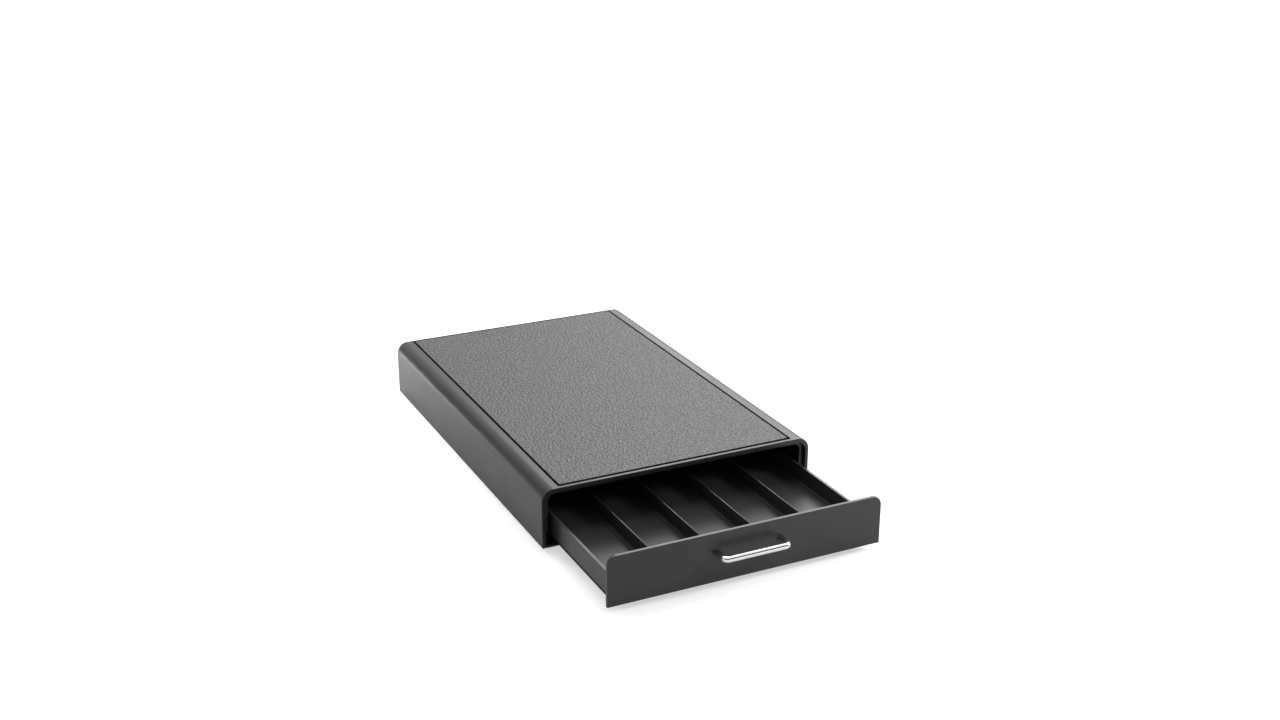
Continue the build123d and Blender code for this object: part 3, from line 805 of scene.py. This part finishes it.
def pebbled():
    """Warped Voronoi cells as domes, with fine noise on top; valleys get painted shade and are duller.
    """
    finish, tree, shader, place = new_finish("pebble grained mat", (0.03, 0.03, 0.03), IOR=1.58)
    push = add(tree, "TexNoise", {"Vector": place}, Scale=1000 / PEBBLE / PUSH_SPAN, Detail=2.0)
    shift = add(tree, "VectorMath", {0: push.outputs["Color"]}, {"operation": "SCALE"},
                Scale=PUSH_REACH * PEBBLE * MM)
    warped = add(tree, "VectorMath", {0: place, 1: shift.outputs["Vector"]})
    cells = add(tree, "TexVoronoi", {"Vector": warped.outputs["Vector"]}, {"feature": "SMOOTH_F1"},
                Scale=1000 / PEBBLE, Smoothness=SOFTNESS).outputs["Distance"]
    dome = spread(tree, cells, low=1.0, high=0.0, start=0.1, end=0.75)
    fine = add(tree, "TexNoise", {"Vector": place}, Scale=1800.0, Detail=2.0).outputs["Fac"]
    height = add(tree, "Math", {0: fine, 2: dome}, {"operation": "MULTIPLY_ADD"})
    height.inputs[1].default_value = TOP_GRAIN
    # painted shade: the colour darkens from the pebbles' tops into the valleys between them
    tree.links.new(tint(tree, dome, (0.006, 0.006, 0.006), (0.032, 0.032, 0.032)),
                   shader.inputs["Base Color"])
    dullness = spread(tree, dome, low=0.45, high=0.30, start=0, end=1)
    tree.links.new(dullness, shader.inputs["Roughness"])
    raise_surface(tree, shader, height.outputs["Value"], PEBBLE_HIGH)
    return finish


finishes["grained_mat"] = pebbled()
print("grain:", PEBBLE, "mm")

# %% [markdown]
# ## Chrome, steel, rubber and the groove's painted shade
# Chrome plate is a mirror with hardly any texture, only a faint orange peel. The screws are zinc
# plated, a duller and slightly warmer metal. The feet are matt rubber with a dry, dusty bloom. Each
# could have a shader of its own, but one chain of noises with other numbers does for them all. The
# narrow groove round the mat gets hardly any light in a real room, so that shade is painted on its
# faces as a nearly black, matt finish.

# %% Metals, rubber and the groove's painted shade
def metal(name, dark, light, gloss, relief):
    """Bare metal: slow noise for tone and roughness, and a faint ripple."""
    finish, tree, shader, place = new_finish(name, dark, Metallic=1.0)
    grained(tree, shader, place, (dark, light), gloss, (60.0, 2.0), (700.0, 1.0), relief)
    return finish


finishes["bright_chrome"] = metal("bright chrome", dark=(0.88, 0.89, 0.90), light=(0.93, 0.94, 0.95),
                                  gloss=(0.05, 0.08), relief=0.001)
finishes["screw_steel"] = metal("zinc plated steel", dark=(0.50, 0.50, 0.51), light=(0.62, 0.61, 0.60),
                                gloss=(0.29, 0.38), relief=0.004)
finishes["foot_rubber"] = moulded("matt rubber", dark=(0.016, 0.016, 0.016),
                                  light=(0.024, 0.024, 0.024), gloss=(0.75, 0.85), grain=1500.0,
                                  relief=0.03)
# painted shade: nearly black, for the little light that reaches the groove, not a darker plastic
finishes["groove"] = moulded("unlit groove", dark=(0.003, 0.003, 0.003), light=(0.005, 0.005, 0.005),
                             gloss=(0.85, 0.95), grain=1500.0, relief=0.01)
print("finishes:", len(finishes))

# %% [markdown]
# ## Dress every piece
# The new pieces know their finish by the slot's name. The CAD nodes that stay, the two rails and the
# base plate, have the right shape already and take their finish from the record in the same way. It
# could be assigned piece by piece, but one loop can't forget any.

# %% Assign the finishes
slot_of = {row["node"]: row["material_slot"] for row in frame["record"]["subparts"]}
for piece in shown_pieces():
    finish_name = piece.get("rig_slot") or slot_of.get(piece.name)
    piece.data.materials.clear()
    piece.data.materials.append(finishes[finish_name])

# %% [markdown]
# ## The painted shade round the mat
# The mat and the cover each have one finish, but the groove between them lies in shade, which is
# painted on its faces as a second, nearly black finish. Its faces could be split off as pieces of
# their own, which would leave the mat and the cover open. A mesh may also hold two materials, each
# face with a number that picks one. So the faces in the groove are chosen by where their centres lie
# and which way they look.

# %% Painted shade on the faces in the groove
NEAR = 0.1                              # how close counts, in mm or as a share of a normal


def paint_groove_shade(piece, finish, chosen):
    """Give the faces that chosen picks by their centres (in mm) and normals a second finish: painted
    shade.
    """
    count = len(piece.data.polygons)
    centre, normal = np.empty(count * 3), np.empty(count * 3)
    piece.data.polygons.foreach_get("center", centre)
    piece.data.polygons.foreach_get("normal", normal)
    picked = chosen(centre.reshape(-1, 3) / MM - housing_at, normal.reshape(-1, 3))
    piece.data.materials.append(finish)
    piece.data.polygons.foreach_set("material_index", picked.astype(np.int32))
    print(piece.name, "faces in the groove:", int(picked.sum()))


def on_edge(at, out):
    """The mat's upright edge: faces whose normal lies level."""
    return np.abs(out[:, 2]) < NEAR


def in_recess(at, out):
    """The recess's floor and walls: faces from its floor's height up to just under the top."""
    x, y, z = at.T
    within = (np.abs(x) < RECESS_HALF + NEAR) & (y > NEAR) & (y < DEPTH - NEAR)
    return (z > RECESS_FLOOR - NEAR) & (z < HEIGHT - NEAR) & within


# painted shade on the mat's upright edge and on the recess's floor and walls
paint_groove_shade(mat, finishes["groove"], on_edge)
paint_groove_shade(cover, finishes["groove"], in_recess)

# %% [markdown]
# ## The floor
# The picture is a product shot on white, where the paper under the object can hardly be told from the
# background, but still takes its soft shadow. A white floor under strong lamps would do that, and
# would throw too much light up at a black object. So the floor is pale grey and glows, and the glow
# lights nothing: the eye meets a weak one near the object, where the shadow lies, and full white
# further away, while mirrors meet hardly any.

# %% Nodes for light
def fade(tree, source, start, end, first, last):
    """A value that goes smoothly from first at start to last at end."""
    return add(tree, "MapRange", {"Value": source}, {"interpolation_type": "SMOOTHSTEP"},
               From_Min=start, From_Max=end, To_Min=first, To_Max=last).outputs["Result"]


def combine(tree, operation, a, b):
    """Two values put together by a Math node, such as MULTIPLY or MAXIMUM."""
    return add(tree, "Math", {0: a, 1: b}, {"operation": operation}).outputs[0]


def mirror_ray(tree):
    """1 for the rays that mirrors and glass send on, 0 for all others."""
    ray = add(tree, "LightPath").outputs
    return combine(tree, "MAXIMUM", ray["Is Glossy Ray"], ray["Is Transmission Ray"])


print("the eye, mirrors and lighting can now meet different values")

# %% The floor
FLOOR_SIZE, FLOOR_TONE = 12.0, 0.55     # metres, and the paper's colour
FLOOR_GLOW, MIRROR_GLOW = 0.55, 0.08    # how far the floor glows for the eye, and for mirrors
GLOW_FROM, GLOW_FULL = 0.6, 1.8         # metres from the object where the glow grows to full white


def floor_glow(tree, place):
    """Camera rays meet a glow that grows with distance, mirror rays a weak one, and others none."""
    away = add(tree, "VectorMath", {0: place}, {"operation": "LENGTH"}).outputs["Value"]
    for_eye = combine(tree, "MULTIPLY", add(tree, "LightPath").outputs["Is Camera Ray"],
                      fade(tree, away, GLOW_FROM, GLOW_FULL, FLOOR_GLOW, 1.0))
    for_mirrors = fade(tree, mirror_ray(tree), 0, 1, 0, MIRROR_GLOW)
    return combine(tree, "MAXIMUM", for_eye, for_mirrors)


bpy.ops.mesh.primitive_plane_add(size=FLOOR_SIZE)
floor = bpy.context.object
floor.name = "studio_floor"
paper, ground, matt, place = new_finish("pale studio paper", (FLOOR_TONE, FLOOR_TONE, FLOOR_TONE),
                                        Roughness=0.9, Specular_IOR_Level=0.0,
                                        Emission_Color=(1, 1, 1, 1))
ground.links.new(floor_glow(ground, place), matt.inputs["Emission Strength"])
floor.data.materials.append(paper)
print("floor:", FLOOR_SIZE, "m wide, tone", FLOOR_TONE)

# %% [markdown]
# ## The sky
# A studio is a white room that lights everything evenly, and the world stands for it. Black plastic
# and chrome mostly show what is around them, so what they mirror matters more than the light. In front
# of the object, behind the camera, the room is dark and draws the dark line along the chrome. Low on
# the left it is dimmer and draws the darker band along the rounded edge. Black cards, as a studio has
# them, would need hiding from the eye, so the sky itself is darker there, for mirror rays alone.

# %% The sky
SKY = 0.50                              # strength of the light that falls on the object
NEAR_DARK, LEFT_DARK = 0.0, 0.45        # strengths that mirrors see in front, and low on the left
# Spans of a direction's X, Y or Z over which the dark part in front and the dim part on the left fade.
FRONT_RISE, FRONT_FALL, FRONT_SIDE = (0.04, 0.10), (0.58, 0.68), (-0.55, -0.15)
LEFT_SIDE, LEFT_FALL = (-0.27, -0.05), (0.55, 0.80)

world = bpy.data.worlds.new("white studio")
world.use_nodes = True
bpy.context.scene.world = world
sky = world.node_tree
backdrop = sky.nodes["Background"]
backdrop.inputs["Color"].default_value = (1, 1, 1, 1)

way = add(sky, "SeparateXYZ", {0: add(sky, "TexCoord").outputs["Generated"]}).outputs
band = combine(sky, "MULTIPLY", fade(sky, way["Z"], *FRONT_RISE, 0, 1),
               fade(sky, way["Z"], *FRONT_FALL, 1, 0))
in_front = combine(sky, "MULTIPLY", band, fade(sky, way["Y"], *FRONT_SIDE, 1, 0))
upper = fade(sky, in_front, 0, 1, 1.0, NEAR_DARK)
lower = combine(sky, "MULTIPLY", fade(sky, way["X"], *LEFT_SIDE, LEFT_DARK, 1.0), upper)
mirrored = add(sky, "Mix", {"Factor": fade(sky, way["Z"], *LEFT_FALL, 1, 0), "A": upper,
                            "B": lower}).outputs[0]
around = add(sky, "Mix", {"Factor": mirror_ray(sky), "B": mirrored}, A=SKY).outputs[0]
eye = add(sky, "LightPath").outputs["Is Camera Ray"]
power = add(sky, "Mix", {"Factor": eye, "A": around}, B=1.0).outputs[0]
sky.links.new(power, backdrop.inputs["Strength"])
print("sky nodes:", len(sky.nodes))

# %% [markdown]
# ## Lamps
# Four soft lamps do the rest. One above gives the top its sheen, and a large one behind on the right
# lights the mat's grain from the side. A small low one at the back on the left makes the long wall
# fade from light to dark, and one in front on the right lifts the panel and the tray's edge. A sun or
# point lamps would draw hard edges, while square area lamps of some size stay soft.

# %% Lamps
def lamp(name, size, watts, spot, aim):
    """A square soft lamp at spot that faces aim; the camera doesn't see the lamp itself."""
    light = bpy.data.lights.new(name, "AREA")
    light.size, light.energy = size, watts
    holder = bpy.data.objects.new(name, light)
    bpy.context.scene.collection.objects.link(holder)
    away = np.array(spot) - np.array(aim)
    tilt = np.arctan2(np.hypot(away[0], away[1]), away[2])
    heading = np.arctan2(away[1], away[0]) + np.pi / 2
    holder.location, holder.rotation_euler = spot, (tilt, 0, heading)
    holder.visible_camera = False
    return holder


lamp("soft_top", size=0.8, watts=15.0, spot=(0.1, 0.3, 1.8), aim=(0, 0, 0.03))
lamp("back_right", size=2.0, watts=34.0, spot=(1.8, 2.2, 1.8), aim=(0.05, 0.1, 0.03))
wall_lamp = lamp("left_back", size=0.3, watts=9.0, spot=(-0.35, 0.74, 0.20), aim=(-0.2, 0.45, 0))
wall_lamp.visible_glossy = False        # so near the wall, it would show there as a bright square
lamp("right_front", size=0.25, watts=6.5, spot=(0.70, -0.60, 0.52), aim=(0.20, -0.26, 0.04))
bpy.context.scene.view_settings.view_transform = "Standard"

# %% [markdown]
# ## Camera
# The camera stands in front, left of the middle, and looks down on the drawer by about 21 degrees. It
# could be turned by eye until the picture looks right, but its place and focal length come from a fit
# to the drawer's own edges. It has no lens shift, so other views need nothing undone.

# %% Camera
CAMERA_AT = (-586.8, -1128.5, 641.6)    # mm, in the housing's axes
LOOK_DOWN, LOOK_RIGHT = 20.956, 25.839  # degrees
LENS, SENSOR, CLIP = 43.73, 36.0, 0.05  # mm, mm, and the nearest distance seen in metres

view = bpy.data.cameras.new("studio_camera")
view.sensor_width, view.lens, view.clip_start = SENSOR, LENS, CLIP
camera = bpy.data.objects.new("studio_camera", view)
bpy.context.scene.collection.objects.link(camera)
camera.location = np.array(CAMERA_AT) * MM + housing_at * MM
camera.rotation_euler = (radians(90 - LOOK_DOWN), 0, radians(-LOOK_RIGHT))
bpy.context.scene.camera = camera
print("camera at", tuple(camera.location))
